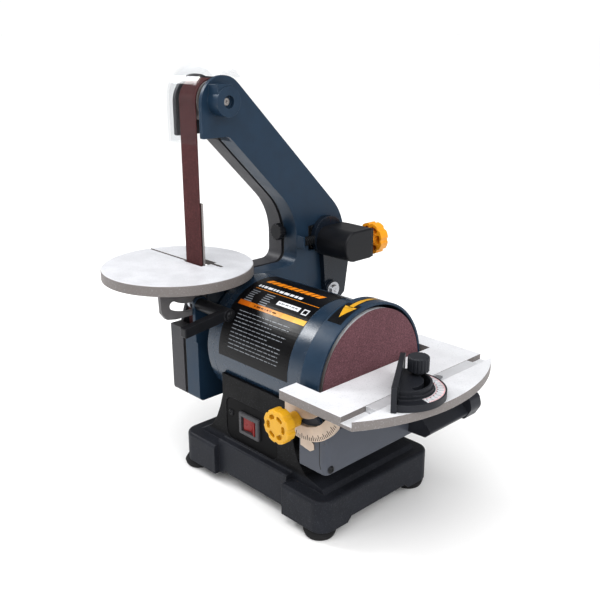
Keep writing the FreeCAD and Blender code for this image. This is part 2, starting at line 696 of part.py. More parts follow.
def miter_group():
    top = S["disc_table_top"]
    deck = top + 0.3
    x, y, reach = S["miter_x"], S["miter_across"], S["miter_knob_reach"]
    bar = new_body("miter_bar")
    prism(bar, "XY", top - 4.8, top - 0.1, rectangle(S["slot_left"] + 0.3, S["slot_right"] - 0.3,
                                                    -65, 72))
    carve(bar, "XY", top - 6, top + 1, circle(x, y + reach, 2.45), circle(x, y, 2.55))
    node(bar, "miter_bar")
    head = new_body("miter_head")
    rim = S["miter_radius"]
    prism(head, "XY", deck, deck + 6, circle(x, y, rim))
    carve(head, "XY", deck + 5.4, deck + 6.1, circle(x, y, rim - 1.2), circle(x, y, 26.4))
    prism(head, "XY", deck + 5, deck + 8.6, circle(x, y, 25.4))
    prism(head, "XY", deck + 8, deck + 12.4, circle(x, y, 24))
    near, far = FENCE_ENDS
    carve(head, "XY", deck - 1, deck + 20, fence_plan(-50, 50, -50, -5))
    prism(head, "XY", deck, deck + 21.5, fence_plan(near, far, -6, -1.5))
    # Two long panels lighten the back of the fence.
    for start, end in ((near + 3, -26), (26, far - 3)):
        carve(head, "XY", deck + 3, deck + 19, fence_plan(start, end, -3, -1))
    carve(head, "XY", deck - 1, deck + 22, arc_slot(x, y, reach, 2.7, -21, 94))
    carve(head, "XY", deck - 1, deck + 6, circle(x, y, 2.55))
    node(head, "miter_head")
    pivot = new_body("miter_pivot")
    turn(pivot, "XZ", "V", polygon((0, top - 4.6), (2.5, top - 4.6), (2.5, deck + 5.8),
                                   (0, deck + 5.8)))
    node(pivot, "miter_pivot", (x, y, 0))
    scale = new_body("miter_scale")
    prism(scale, "XY", deck + 5.4, deck + 5.9, arc_band(x, y, 26.6, 34.5, -15, 100))
    node(scale, "miter_scale")
    knob = new_body("miter_knob")
    prism(knob, "XY", deck + 12.6, deck + 15.4, circle(0, 0, 5.2))
    prism(knob, "XY", deck + 15.3, deck + 28, circle(0, 0, 9.2))
    flute = carve(knob, "XY", deck + 14, deck + 29, circle(9.9, 0, 1.1))
    polar(knob, flute, "Z_Axis", 18)
    dress(knob, "Chamfer", 1.0, lambda m, t, e: m.z > float(deck) + 27.9)
    prism(knob, "XY", top - 4.6, deck + 12.7, circle(0, 0, 2.4))
    node(knob, "miter_knob", (x, y + reach, 0))
    pointer = new_body("miter_pointer")
    prism(pointer, "XY", top - 0.1, top + 0.9, polygon(
        (x - 4, y + 38), (x + 4, y + 38), (x + 5, y + 45), (x + 2, y + 52), (x - 3, y + 50)))
    node(pointer, "miter_pointer")


# ---------------------------------------------------------------- belt arm

ARM_CORNERS = (
    # across, level, corner radius
    (-61.4, 9.4, 0), (-61.4, -64, 5), (20.3, -64, 20), (143, 0, 12), (152.5, 43, 12),
    (148, 72.8, 0), (148, 98.6, 62), (-45.5, 292.1, 26), (-45.5, 198.3, 1.5),
    (-13.6, 198.3, 10), (74.5, 110.2, 66), (74.5, 55, 11), (0, 55, 8), (-24, 47, 0),
    (-42, 30, 0), (-48.5, 9.4, 0),
)


# Two long screws hold the cover to posts inside the casting: across and level.
COVER_SCREWS = ((50, 155), (-50, -50))


def open_front(body, low, high):
    """Leaves the walls out where the belt runs in the open and where it enters the housing."""
    carve(body, "YZ", low, high, rectangle(-70, -8, 185, 300))
    carve(body, "YZ", low, high, polygon((-49.5, 0), (-38, 0), (-38, 42), (-49.5, 42)))


def arm_group():
    right, seam = S["arm_right"], S["seam_right"]
    arm = new_body("arm")
    prism(arm, "YZ", seam, right, rounded(ARM_CORNERS))
    carve(arm, "YZ", seam - 1, right - S["plate"], rounded(inset(ARM_CORNERS, float(S["wall"]))))
    # Lug that the belt table's clamp bolt passes through.
    prism(arm, "YZ", right - S["plate"], right, polygon(
        (-63, 0), (-47, 0), (-47, 42), (-51, 46), (-59, 46), (-63, 42)))
    open_front(arm, seam - 1, right - S["plate"] - 0.01)
    # Head boss with a flat-topped lug, and the bosses for the lever bolt and the spring.
    across, level = S["top_across"], S["top_level"]
    prism(arm, "YZ", right - 1, right + 15, circle(across, level, 14))
    prism(arm, "YZ", right - 1, right + 14, rectangle(across - 12, across + 5, level + 4, level + 16))
    carve(arm, "YZ", right + 10.5, right + 16, circle(across, level, 6))
    carve(arm, "YZ", right - 20, right + 11, circle(across, level, 4.03))
    prism(arm, "YZ", right - 9.2, right - 1, circle(across, level, 9))
    carve(arm, "YZ", right - 10, right + 11, circle(across, level, 4.03))
    prism(arm, "YZ", right - 1, right + 11, rectangle(74.6, 76.4, 73, 86))
    for spot in COVER_SCREWS:
        prism(arm, "YZ", seam, right - 1, circle(*spot, 5.5))
        carve(arm, "YZ", seam - 1, right - 15, circle(*spot, 3.05))
    carve(arm, "YZ", right - 6, right + 1, circle(S["lever_across"], S["lever_level"], 4.03))
    # Opening that the swinging idler's axle moves in.
    carve(arm, "YZ", right - 6, right + 1, rectangle(92, 133, 66, 94))
    carve(arm, "YZ", right - 6, right + 1, circle(0, 0, 9))
    carve(arm, "YZ", right - 6, right + 1, circle(S["lock_across"], S["lock_level"], 4.05))
    node(arm, "arm_casting")

    left, edge = S["arm_left"], S["seam_left"]
    cover = new_body("cover")
    prism(cover, "YZ", left, edge, rounded(ARM_CORNERS))
    carve(cover, "YZ", left + S["plate"], edge + 1, rounded(inset(ARM_CORNERS, float(S["wall"]))))
    open_front(cover, left + S["plate"], edge + 1)
    carve(cover, "YZ", left - 1, left + 5, *[circle(*spot, 3.1) for spot in COVER_SCREWS])
    node(cover, "side_cover")
    for name, spot in zip(("upper", "lower"), COVER_SCREWS):
        pan_screw(f"cover_screw_{name}", "X", (left, *spot), 6, 29.5, 3, facing=-1)
    inner_knob()
    seal_strip()


def inner_knob():
    """Small ribbed knob that spans the seam on the inner wall and holds the cover."""
    body = new_body("inner_knob")
    prism(body, "XZ", -3.5, 0, circle(0, 0, 6))
    prism(body, "XZ", -9.5, -3.5, circle(0, 0, 9))
    rib = carve(body, "XZ", -9.5, -3.5, circle(9.5, 0, 1.3))
    polar(body, rib, "Y_Axis", 14)
    dress(body, "Chamfer", 0.6, lambda m, t, e: m.y < -9.4)
    node(body, "inner_knob", (S["seam_right"] - 2, 73.5, 88))


def flat_face(corners, x):
    """Flat face on a YZ plane inside a rounded outline."""
    wire = Part.Wire([side.toShape() for side in rounded_sides(corners)])
    face = Part.Face(wire)
    upright = FreeCAD.Rotation(Vector(0, 1, 0), Vector(0, 0, 1), Vector(1, 0, 0), "XYZ")
    face.Placement = FreeCAD.Placement(Vector(x, 0, 0), upright)
    return face


def seal_strip():
    """Soft strip set back in the seam between the arm casting and the side cover."""
    start = float(S["seam_right"])
    outer = flat_face(inset(ARM_CORNERS, 1.2), start)
    inner = flat_face(inset(ARM_CORNERS, 2.8), start)
    width = float(S["seam_right"]) - float(S["seam_left"])
    strip = outer.cut(inner).extrude(Vector(-width, 0, 0))
    strip = strip.cut(Part.makeBox(20, 62, 120, Vector(-210, -70, 185)))
    strip = strip.cut(Part.makeBox(20, 11.5, 42, Vector(-210, -49.5, 0)))
    for name, solid in zip(("outer", "inner"), sorted(strip.Solids, key=lambda s: -s.Volume)):
        thing = doc.addObject("Part::Feature", "Seal")
        thing.Shape = solid
        node(thing, f"cover_seal_{name}")


def belt_loop(extra):
    """Closed wire round the three wheels, a distance outside their rims."""
    wheels = [(0, 0, S["drive_radius"]), (S["rear_across"], S["rear_level"], S["rear_radius"]),
              (S["top_across"], S["top_level"], S["top_radius"])]
    wheels = [(float(y), float(z), float(r) + extra) for y, z, r in wheels]
    ends = []
    for (y1, z1, r1), (y2, z2, r2) in zip(wheels, wheels[1:] + wheels[:1]):
        gap = math.hypot(y2 - y1, z2 - z1)
        heading = math.atan2(z2 - z1, y2 - y1)
        normal = heading - math.acos((r1 - r2) / gap)
        ends.append((y1 + r1 * math.cos(normal), z1 + r1 * math.sin(normal),
                     y2 + r2 * math.cos(normal), z2 + r2 * math.sin(normal), normal))
    edges_ = []
    for i, (ya, za, yb, zb, normal) in enumerate(ends):
        edges_.append(Part.LineSegment(Vector(0, ya, za), Vector(0, yb, zb)).toShape())
        y, z, r = wheels[(i + 1) % 3]
        following = ends[(i + 1) % 3]
        after = following[4]
        while after < normal:
            after += 2 * math.pi
        middle = (normal + after) / 2
        edges_.append(Part.Arc(
            Vector(0, yb, zb), Vector(0, y + r * math.cos(middle), z + r * math.sin(middle)),
            Vector(0, following[0], following[1])).toShape())
    return Part.Wire(edges_)


def wheel(name, radius, width, bore, at):
    """Crowned belt wheel on the X axis with a recessed web."""
    body = new_body(name)
    half = width / 2
    turn(body, "XZ", "H", polygon(
        (-half, bore), (-half, bore + 5), (-3, bore + 6), (-3, radius - 4), (-half, radius - 3),
        (-half, radius - 0.4), (-4, radius), (4, radius), (half, radius - 0.4), (half, radius - 3),
        (3, radius - 4), (3, bore + 6), (half, bore + 5), (half, bore)))
    return node(body, name, at)


def belt_group():
    middle = S["belt_x"]
    drive = new_body("drive_pulley")
    radius = S["drive_radius"]
    turn(drive, "XZ", "H", polygon(
        (-213.5, 6.03), (-213.5, 12), (-204, 14), (-204, radius - 6), (-213.5, radius - 5),
        (-213.5, radius - 0.4), (-204, radius), (-196, radius), (-186.5, radius - 0.4),
        (-186.5, radius - 5), (-197, radius - 6), (-197, 14), (-186.5, 12), (-186.5, 6.03)))
    node(drive, "drive_pulley")
    wheel("top_idler", S["top_radius"], 26, 4.04, (middle, S["top_across"], S["top_level"]))
    top_axle = new_body("top_axle")
    turn(top_axle, "XZ", "H", polygon((-214, 0), (-214, 4), (-167, 4), (-166.4, 3.4), (-166.4, 1.4),
                                      (-168, 0)))
    node(top_axle, "top_axle", (0, S["top_across"], S["top_level"]))
    wheel("rear_idler", S["rear_radius"], 26, 4.04, (middle, S["rear_across"], S["rear_level"]))
    half = S["belt_width"] / 2
    gap, thick = float(S["belt_gap"]), float(S["belt_thick"])
    band = Part.Face(belt_loop(gap + thick)).cut(Part.Face(belt_loop(gap)))
    band.translate(Vector(float(middle - half), 0, 0))
    belt = doc.addObject("Part::Feature", "Belt")
    belt.Shape = band.extrude(Vector(float(S["belt_width"]), 0, 0))
    node(belt, "sanding_belt")
    platen = new_body("platen")
    prism(platen, "YZ", middle - 13.4, middle + 13.2, rectangle(-43.2, -41, 26, 136))
    prism(platen, "YZ", middle + 3, middle + 12.6, polygon(
        (-41.2, 50), (-41.2, 62), (-38, 62), (-36, 59.6), (14, 59.6), (14, 55), (-16, 55),
        (-20, 57), (-37, 57), (-38.6, 50)))
    dress(platen, "Fillet", 1.0, lambda m, t, e: abs(t.x) > 0.99 and m.z > 135)
    node(platen, "platen")


def tension_group():
    right = S["arm_right"]
    pivot_y, pivot_z = S["lever_across"], S["lever_level"]
    axle_y, axle_z = S["rear_across"], S["rear_level"]
    lever = new_body("lever")
    face = right + 0.3
    prism(lever, "YZ", face, face + 6, polygon(
        (109, 60), (113, 12), (118, 7), (138, 6), (143.5, 10), (149, 44), (141, 66), (120, 70)))
    dress(lever, "Fillet", 4, lambda m, t, e: abs(t.x) > 0.99 and m.z < 15)
    prism(lever, "YZ", face, face + 6, circle(axle_y, axle_z, 22))
    prism(lever, "YZ", face + 5.9, face + 9.5, circle(pivot_y, pivot_z, 10.5))
    carve(lever, "YZ", face - 1, face + 10, circle(pivot_y, pivot_z, 4.06))
    carve(lever, "YZ", face - 1, face + 7, rectangle(axle_y - 6, axle_y + 6, axle_z - 6, axle_z + 6))
    node(lever, "tension_lever")
    pivot = new_body("lever_bolt")
    turn(pivot, "XZ", "H", polygon((right - 4, 0), (right - 4, 4), (face + 9.7, 4),
                                   (face + 9.7, 9), (face + 11, 9), (face + 11, 6),
                                   (face + 13.4, 5.2), (face + 13.4, 2.4), (face + 12.4, 0)))
    node(pivot, "lever_bolt", (0, pivot_y, pivot_z))
    # Housing of the tracking screw: round at the front, flat at the rear, open to the lever.
    start = face + 6
    box = new_body("tracking_housing")
    shell = ((98.6, 92, 15), (98.6, 59, 15), (141, 59, 2.5), (141, 92, 2.5))
    prism(box, "YZ", start, start + 43.5, rounded(shell))
    dress(box, "Fillet", 2, lambda m, t, e: abs(m.x - float(start) - 43.5) < 0.01)
    carve(box, "YZ", start - 1, start + 41, rounded(inset(shell, 2.5)))
    prism(box, "XZ", 141, 143, rectangle(start + 1, start + 42.5, 60, 91))
    carve(box, "XZ", 136, 144, circle(-143, 75.5, 3.08))
    node(box, "tracking_housing")
    # Cradle that carries the axle and turns a little on a vertical pin.
    cradle = new_body("cradle")
    prism(cradle, "YZ", start + 1, start + 30, rectangle(axle_y - 9, axle_y + 9, axle_z - 8,
                                                       axle_z + 8))
    dress(cradle, "Fillet", 2, along_x)
    carve(cradle, "YZ", start, start + 31, circle(axle_y, axle_z, 4.02))
    prism(cradle, "XY", 62, 89, circle(start + 5, axle_y + 6.4, 2.2))
    node(cradle, "axle_cradle")
    node(rod("X", (0, 0, 0), 4, 65), "rear_axle", (-214, axle_y, axle_z))
    knob = lobed_knob("tracking_knob", 17.6, 12, 7.5, 9.8)
    prism(knob, "XZ", -4, 15.8, circle(0, 0, 3))
    window = carve(knob, "XZ", -17, -9.7, arc_slot(0, 0, 11.8, 2.7, -11, 11))
    polar(knob, window, "Y_Axis", 6)
    knob.Placement.Rotation = FreeCAD.Rotation(Vector(0, 0, 1), 180)
    node(knob, "tracking_knob", (-143, 143.2, 75.5))
    spring = doc.addObject("Part::Feature", "Spring")
    coil = Part.makeLongHelix(2.8, 16.5, 4.4)
    wire = Part.Wire(Part.makeCircle(0.7, Vector(4.4, 0, 0), Vector(0, 1, 0)))
    spring.Shape = Part.Wire(coil).makePipeShell([wire], True, False)
    spring.Placement = FreeCAD.Placement(Vector(), FreeCAD.Rotation(Vector(1, 0, 0), -90))
    node(spring, "tension_spring", (right + 5.8, 77.2, 79.5))


def belt_guard():
    """Clear cover of the head: a curved strip around the nose of the casting, and a side."""
    left, right = S["arm_left"] - 1.5, S["arm_right"] - S["plate"] - 0.3
    across, level, low = -19.5, 233.5, 193
    body = new_body("belt_guard")
    prism(body, "YZ", left, right, circle(across, level, 31.5))
    prism(body, "YZ", left, right, rectangle(across - 31.5, across, low, level))
    carve(body, "YZ", left + 1.5, right + 1, circle(across, level, 30))
    carve(body, "YZ", left + 1.5, right + 1, rectangle(across - 30, across + 1, low - 1, level))
    # Behind the nose the strip ends square to the sloping top of the casting.
    carve(body, "YZ", left - 1, right + 1, polygon(
        (across + 25, level + 20), (across + 3, level - 2), (across + 3, low - 20),
        (across + 60, low - 20), (across + 60, level + 20)))
    carve(body, "YZ", left - 1, right + 1, rectangle(across, across + 4, low - 20, low + 14))
    return body


def belt_table_group():
    top = S["belt_table_top"]
    x, y = S["belt_table_x"], S["belt_table_across"]
    table = new_body("belt_table")
    prism(table, "XY", top - 10, top, circle(x, y, S["belt_table_radius"]))
    carve(table, "XY", top - 11, top - 5, circle(x, y, S["belt_table_radius"] - 5))
    prism(table, "XY", top - 10, top - 4, rectangle(-186.5, -170, -100, -40))
    carve(table, "XY", top - 11, top + 1, rectangle(-214.6, -185.4, -47.4, -28))
    carve(table, "XY", top - 11, top + 1, rectangle(-300, -214, -45.1, -42.3))
    carve(table, "XY", top - 11, top + 1, rectangle(-186, -170, -35, -31.5))
    dress(table, "Fillet", 1.2, lambda m, t, e: abs(m.z - float(top)) < 0.1 and e.Length > 150)
    node(table, "belt_table")
    plate = new_body("belt_trunnion")
    pivot = S["belt_tilt_across"]
    near, far = S["arm_right"] - 8.7, S["arm_right"] - 4.5
    prism(plate, "YZ", near, far, polygon(
        (-99.5, top - 10), (-98.5, 38), (-93, 30.5), (-82, 28.5), (-56, 28.5), (-48, 31),
        (-46, 36), (-46, top - 10)))
    dress(plate, "Fillet", 4, lambda m, t, e: abs(t.x) > 0.99 and m.z < 36)
    carve(plate, "YZ", near, far, arc_slot(pivot, top, S["belt_tilt_radius"], 4.3, -121, -73))
    node(plate, "belt_table_trunnion")
    bolt = new_body("lock_bolt")
    turn(bolt, "XZ", "H", polygon((near - 4, 0), (near - 4, 6.2), (near - 0.2, 6.2),
                                  (near - 0.2, 4), (-143, 4), (-143, 0)))
    node(bolt, "lock_bolt", (0, S["lock_across"], S["lock_level"]))
    handle = new_body("lock_lever")
    prism(handle, "YZ", -142, -131, circle(0, 0, 6.3))
    prism(handle, "YZ", -140, -132, polygon((-2, 5.2), (-51, -1.5), (-51, -10.5), (-2, -4.5)))
    dress(handle, "Fillet", 1.2, lambda m, t, e: m.y < -50.5)
    carve(handle, "YZ", -143, -139, circle(0, 0, 4.0))
    carve(handle, "YZ", -133, -130, circle(0, 0, 3.0))
    prism(handle, "YZ", -177.2, -142, circle(0, 0, 6.3), circle(0, 0, 4.05))
    node(handle, "lock_lever", (0, S["lock_across"], S["lock_level"]))


motor_group()
disc_group()
disc_table_group()
miter_group()
arm_group()
belt_group()
tension_group()
node(belt_guard(), "belt_guard")
belt_table_group()


# ---------------------------------------------------------------- checks and files

def write_parts():
    doc.recompute()
    failed = [thing.Name for thing in doc.Objects
              if "Invalid" in thing.State or "Error" in thing.State]
    if failed:
        raise RuntimeError(f"failed objects: {failed}")
    for thing in nodes:
        if thing.Shape.isNull() or not thing.Shape.isValid():
            raise RuntimeError(f"{thing.Label} has no valid shape")
    for thing in nodes:
        thing.Shape.exportStep(f"parts/{thing.Label}.step")


write_parts()
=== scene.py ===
"""Looks of the bench belt grinder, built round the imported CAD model. Lengths are metres."""
import bpy, bmesh
import math
import random
from mathutils import Matrix, Vector


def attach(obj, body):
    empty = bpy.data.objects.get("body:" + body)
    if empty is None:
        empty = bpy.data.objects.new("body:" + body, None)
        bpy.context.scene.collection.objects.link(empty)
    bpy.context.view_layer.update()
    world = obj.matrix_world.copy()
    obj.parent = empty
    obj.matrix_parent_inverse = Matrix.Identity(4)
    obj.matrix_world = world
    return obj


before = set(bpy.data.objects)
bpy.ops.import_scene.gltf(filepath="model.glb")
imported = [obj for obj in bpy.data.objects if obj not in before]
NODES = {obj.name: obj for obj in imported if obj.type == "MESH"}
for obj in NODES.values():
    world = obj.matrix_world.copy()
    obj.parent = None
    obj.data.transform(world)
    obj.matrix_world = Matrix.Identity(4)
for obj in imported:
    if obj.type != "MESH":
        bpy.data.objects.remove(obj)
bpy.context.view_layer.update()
MM = 0.001
SHIFT = Vector((96.5, -15.5, 134.5)) * MM   # the motor axis, at the face of the disc


def at(x, y, z):
    """A point given in millimetres from the motor axis."""
    return Vector((x, y, z)) * MM + SHIFT


def linear(red, green, blue):
    """Linear colour of 0-255 screen values."""
    def one(value):
        value /= 255
        return value / 12.92 if value <= 0.04045 else ((value + 0.055) / 1.055) ** 2.4
    return (one(red), one(green), one(blue), 1)


# ---------------------------------------------------------------- materials

class Graph:
    """Short forms for wiring a material's nodes."""

    def __init__(self, name):
        self.material = bpy.data.materials.new(name)
        self.material.use_nodes = True
        self.tree = self.material.node_tree
        self.shader = self.tree.nodes["Principled BSDF"]
        self.coords = self.add("ShaderNodeTexCoord").outputs["Object"]

    def add(self, kind, **values):
        node = self.tree.nodes.new(kind)
        for name, value in values.items():
            setattr(node, name, value)
        return node

    def link(self, source, target):
        self.tree.links.new(source, target)

    def noise(self, scale, detail=3.0, rough=0.55, stretch=None):
        node = self.add("ShaderNodeTexNoise")
        node.inputs["Scale"].default_value = scale
        node.inputs["Detail"].default_value = detail
        node.inputs["Roughness"].default_value = rough
        source = self.coords
        if stretch:
            shape = self.add("ShaderNodeMapping")
            shape.inputs["Scale"].default_value = stretch
            self.link(source, shape.inputs["Vector"])
            source = shape.outputs["Vector"]
        self.link(source, node.inputs["Vector"])
        return node.outputs["Fac"]

    def ramp(self, source, low, high, start=0.0, end=1.0):
        node = self.add("ShaderNodeMapRange")
        limits = {"From Min": start, "From Max": end, "To Min": low, "To Max": high}
        for name, value in limits.items():
            node.inputs[name].default_value = value
        self.link(source, node.inputs["Value"])
        return node.outputs["Result"]

    def mix(self, factor, first, second):
        node = self.add("ShaderNodeMix", data_type="RGBA")
        if isinstance(factor, float):
            node.inputs["Factor"].default_value = factor
        else:
            self.link(factor, node.inputs["Factor"])
        for name, value in (("A", first), ("B", second)):
            socket = next(s for s in node.inputs if s.name == name and s.type == "RGBA")
            if isinstance(value, tuple):
                socket.default_value = value
            else:
                self.link(value, socket)
        return next(s for s in node.outputs if s.type == "RGBA")


def scaled(tone, factor):
    """Colour made lighter or darker."""
    return tuple(min(value * factor, 1) for value in tone[:3]) + (1,)


def finish_of(name, tone, rough, metal=0.0, grain=900, bump=0.15, depth=0.2, mottle=0.12,
              spread=0.06, edge=0.5, wear=0.0, wear_tone=None, coat=0.0, speckle=None,
              stretch=None, patch=60, sheen=0.3, second=None):
    """Painted, cast, moulded or machined surface: grain, blotches, soft edges, and lighter edges
    that are partly worn and partly painted highlight.

    grain is the number of bumps per metre, depth their height and edge the rounding in mm.
    sheen is the specular level, and second is another tone with the function that masks it.
    """
    g = Graph(name)
    blotch = g.noise(patch, 4)
    fine = g.noise(grain, 2, stretch=stretch)
    colour = g.mix(g.ramp(blotch, 0, 1, 0.35, 0.65), scaled(tone, 1 - mottle),
                   scaled(tone, 1 + mottle))
    if second:
        colour = g.mix(second[1](g), colour, second[0])
    if speckle:
        dots = g.noise(speckle[0], 1, 0.4)
        colour = g.mix(g.ramp(dots, 0, speckle[2], 0.6, 0.75), colour, speckle[1])
    bevel = g.add("ShaderNodeBevel", samples=4)
    bevel.inputs["Radius"].default_value = edge * MM
    # The lighter edge colour is partly real rubbing and partly painted highlight, standing in for
    # the lamps' glints along edges.
    if wear:
        geometry = g.add("ShaderNodeNewGeometry")
        dot = g.add("ShaderNodeVectorMath", operation="DOT_PRODUCT")
        g.link(bevel.outputs["Normal"], dot.inputs[0])
        g.link(geometry.outputs["Normal"], dot.inputs[1])
        corner = g.ramp(dot.outputs["Value"], wear, 0, 0.8, 0.97)
        worn_and_glinting = g.add("ShaderNodeMath", operation="MULTIPLY")
        g.link(corner, worn_and_glinting.inputs[0])
        g.link(g.ramp(g.noise(260, 4), 0.2, 1, 0.4, 0.6), worn_and_glinting.inputs[1])
        colour = g.mix(worn_and_glinting.outputs["Value"], colour, wear_tone or scaled(tone, 2.2))
    g.link(colour, g.shader.inputs["Base Color"])
    g.link(g.ramp(blotch, rough - spread, rough + spread, 0.3, 0.7), g.shader.inputs["Roughness"])
    g.shader.inputs["Metallic"].default_value = metal
    g.shader.inputs["Specular IOR Level"].default_value = sheen
    g.shader.inputs["Coat Weight"].default_value = coat
    g.shader.inputs["Coat Roughness"].default_value = 0.15
    relief = g.add("ShaderNodeBump")
    relief.inputs["Strength"].default_value = bump
    relief.inputs["Distance"].default_value = depth * MM
    g.link(fine, relief.inputs["Height"])
    g.link(bevel.outputs["Normal"], relief.inputs["Normal"])
    g.link(relief.outputs["Normal"], g.shader.inputs["Normal"])
    return g.material


# This mask darkens the tables' side faces, partly as painted shade.
def sides(g):
    """Mask of the faces that aren't the top, in the piece's own directions."""
    parts = g.add("ShaderNodeSeparateXYZ")
    coords = next(n for n in g.tree.nodes if n.type == "TEX_COORD")
    g.link(coords.outputs["Normal"], parts.inputs["Vector"])
    return g.ramp(parts.outputs["Z"], 1, 0, 0.55, 0.9)


def above(level):
    """Mask of everything above a level, in millimetres from the motor axis."""
    def mask(g):
        parts = g.add("ShaderNodeSeparateXYZ")
        g.link(g.coords, parts.inputs["Vector"])
        height = at(0, 0, level).z
        return g.ramp(parts.outputs["Z"], 0, 1, height - 0.002, height + 0.002)
    return mask


def abrasive(name, tone):
    """Resin-bonded grit: dark and light grains on a red-brown ground, sharp bumps."""
    g = Graph(name)
    cells = g.add("ShaderNodeTexVoronoi")
    cells.inputs["Scale"].default_value = 1500
    g.link(g.coords, cells.inputs["Vector"])
    cloud = g.noise(24, 5)
    ground = g.mix(g.ramp(cloud, 0, 1, 0.35, 0.65), scaled(tone, 0.84), scaled(tone, 1.14))
    flecks = g.noise(620, 3, 0.8)
    ground = g.mix(g.ramp(flecks, 0, 1, 0.3, 0.7), scaled(tone, 0.55), ground)
    grit = g.noise(1300, 1, 0.7)
    colour = g.mix(g.ramp(grit, 0, 0.6, 0.56, 0.72), ground, scaled(tone, 2.0))
    colour = g.mix(g.ramp(grit, 0.6, 0, 0.3, 0.44), colour, scaled(tone, 0.4))
    g.link(colour, g.shader.inputs["Base Color"])
    g.link(g.ramp(grit, 0.65, 0.95), g.shader.inputs["Roughness"])
    g.shader.inputs["Specular IOR Level"].default_value = 0.25
    relief = g.add("ShaderNodeBump")
    relief.inputs["Strength"].default_value = 0.6
    relief.inputs["Distance"].default_value = 0.25 * MM
    g.link(cells.outputs["Distance"], relief.inputs["Height"])
    g.link(relief.outputs["Normal"], g.shader.inputs["Normal"])
    return g.material


def clear_plastic(name):
    """Thin clear moulding: see-through and glossy, and milky only where it is seen edge on."""
    g = Graph(name)
    g.shader.inputs["Base Color"].default_value = (0.8, 0.82, 0.84, 1)
    g.link(g.ramp(g.noise(90, 3), 0.04, 0.12), g.shader.inputs["Roughness"])
    relief = g.add("ShaderNodeBump")
    relief.inputs["Strength"].default_value = 0.1
    relief.inputs["Distance"].default_value = 0.4 * MM
    g.link(g.noise(45, 2), relief.inputs["Height"])
    g.link(relief.outputs["Normal"], g.shader.inputs["Normal"])
    see = g.add("ShaderNodeBsdfTransparent")
    see.inputs["Color"].default_value = (0.93, 0.935, 0.94, 1)
    gloss = g.add("ShaderNodeBsdfGlossy")
    gloss.inputs["Roughness"].default_value = 0.06
    g.link(relief.outputs["Normal"], gloss.inputs["Normal"])
    tilt = g.add("ShaderNodeLayerWeight")
    tilt.inputs["Blend"].default_value = 0.5
    g.link(g.ramp(tilt.outputs["Facing"], 0.012, 0.4, 0.45, 1.0), gloss.inputs["Color"])
    clear = g.add("ShaderNodeAddShader")
    g.link(see.outputs["BSDF"], clear.inputs[0])
    g.link(gloss.outputs["BSDF"], clear.inputs[1])
    blend = g.add("ShaderNodeMixShader")
    rim = g.add("ShaderNodeLayerWeight")
    rim.inputs["Blend"].default_value = 0.25
    g.link(g.ramp(rim.outputs["Facing"], 0.0, 0.6, 0.6, 1.0), blend.inputs["Fac"])
    g.link(clear.outputs["Shader"], blend.inputs[1])
    g.link(g.shader.outputs["BSDF"], blend.inputs[2])
    output = next(n for n in g.tree.nodes if n.type == "OUTPUT_MATERIAL")
    g.link(blend.outputs["Shader"], output.inputs["Surface"])
    return g.material


def paint(tone, rough, metal=0.0, **details):
    """Maker of a finish_of material; its tones are 0-255 screen values."""
    if "wear_tone" in details:
        details["wear_tone"] = linear(*details["wear_tone"])
    if "speckle" in details:
        scale, colour, share = details["speckle"]
        details["speckle"] = (scale, linear(*colour), share)
    if "second" in details:
        colour, mask = details["second"]
        details["second"] = (linear(*colour), mask)
    return lambda name: finish_of(name, linear(*tone), rough, metal, **details)


def printed(tone, rough=0.35, bump=0.05, **details):
    """Maker of a printed colour: fine grain and hardly any rounding."""
    return paint(tone, rough, grain=900, bump=bump, edge=0.05, **details)


def knob_plastic(tone, wear_tone):
    return paint(tone, 0.34, grain=260, bump=0.08, mottle=0.06, edge=0.7, wear=0.4,
                 wear_tone=wear_tone, sheen=0.5)


def moulded_black(tone, rough, wear_tone, sheen=0.3):
    return paint(tone, rough, grain=750, bump=0.3, mottle=0.1, edge=0.7, wear=0.35,
                 wear_tone=wear_tone, sheen=sheen)


def cast_table(top, rims, dots, dot_share, bare_and_glint, mottle):
    """Ground pale top with darker rims: rough cast, and darker still as painted shade on every face
    that isn't the top.
    """
    return paint(top, 0.5, 0.1, grain=1100, bump=0.35, depth=0.2, mottle=mottle, edge=0.6,
                 wear=0.4, wear_tone=bare_and_glint, speckle=(900, dots, dot_share), second=(rims, sides))


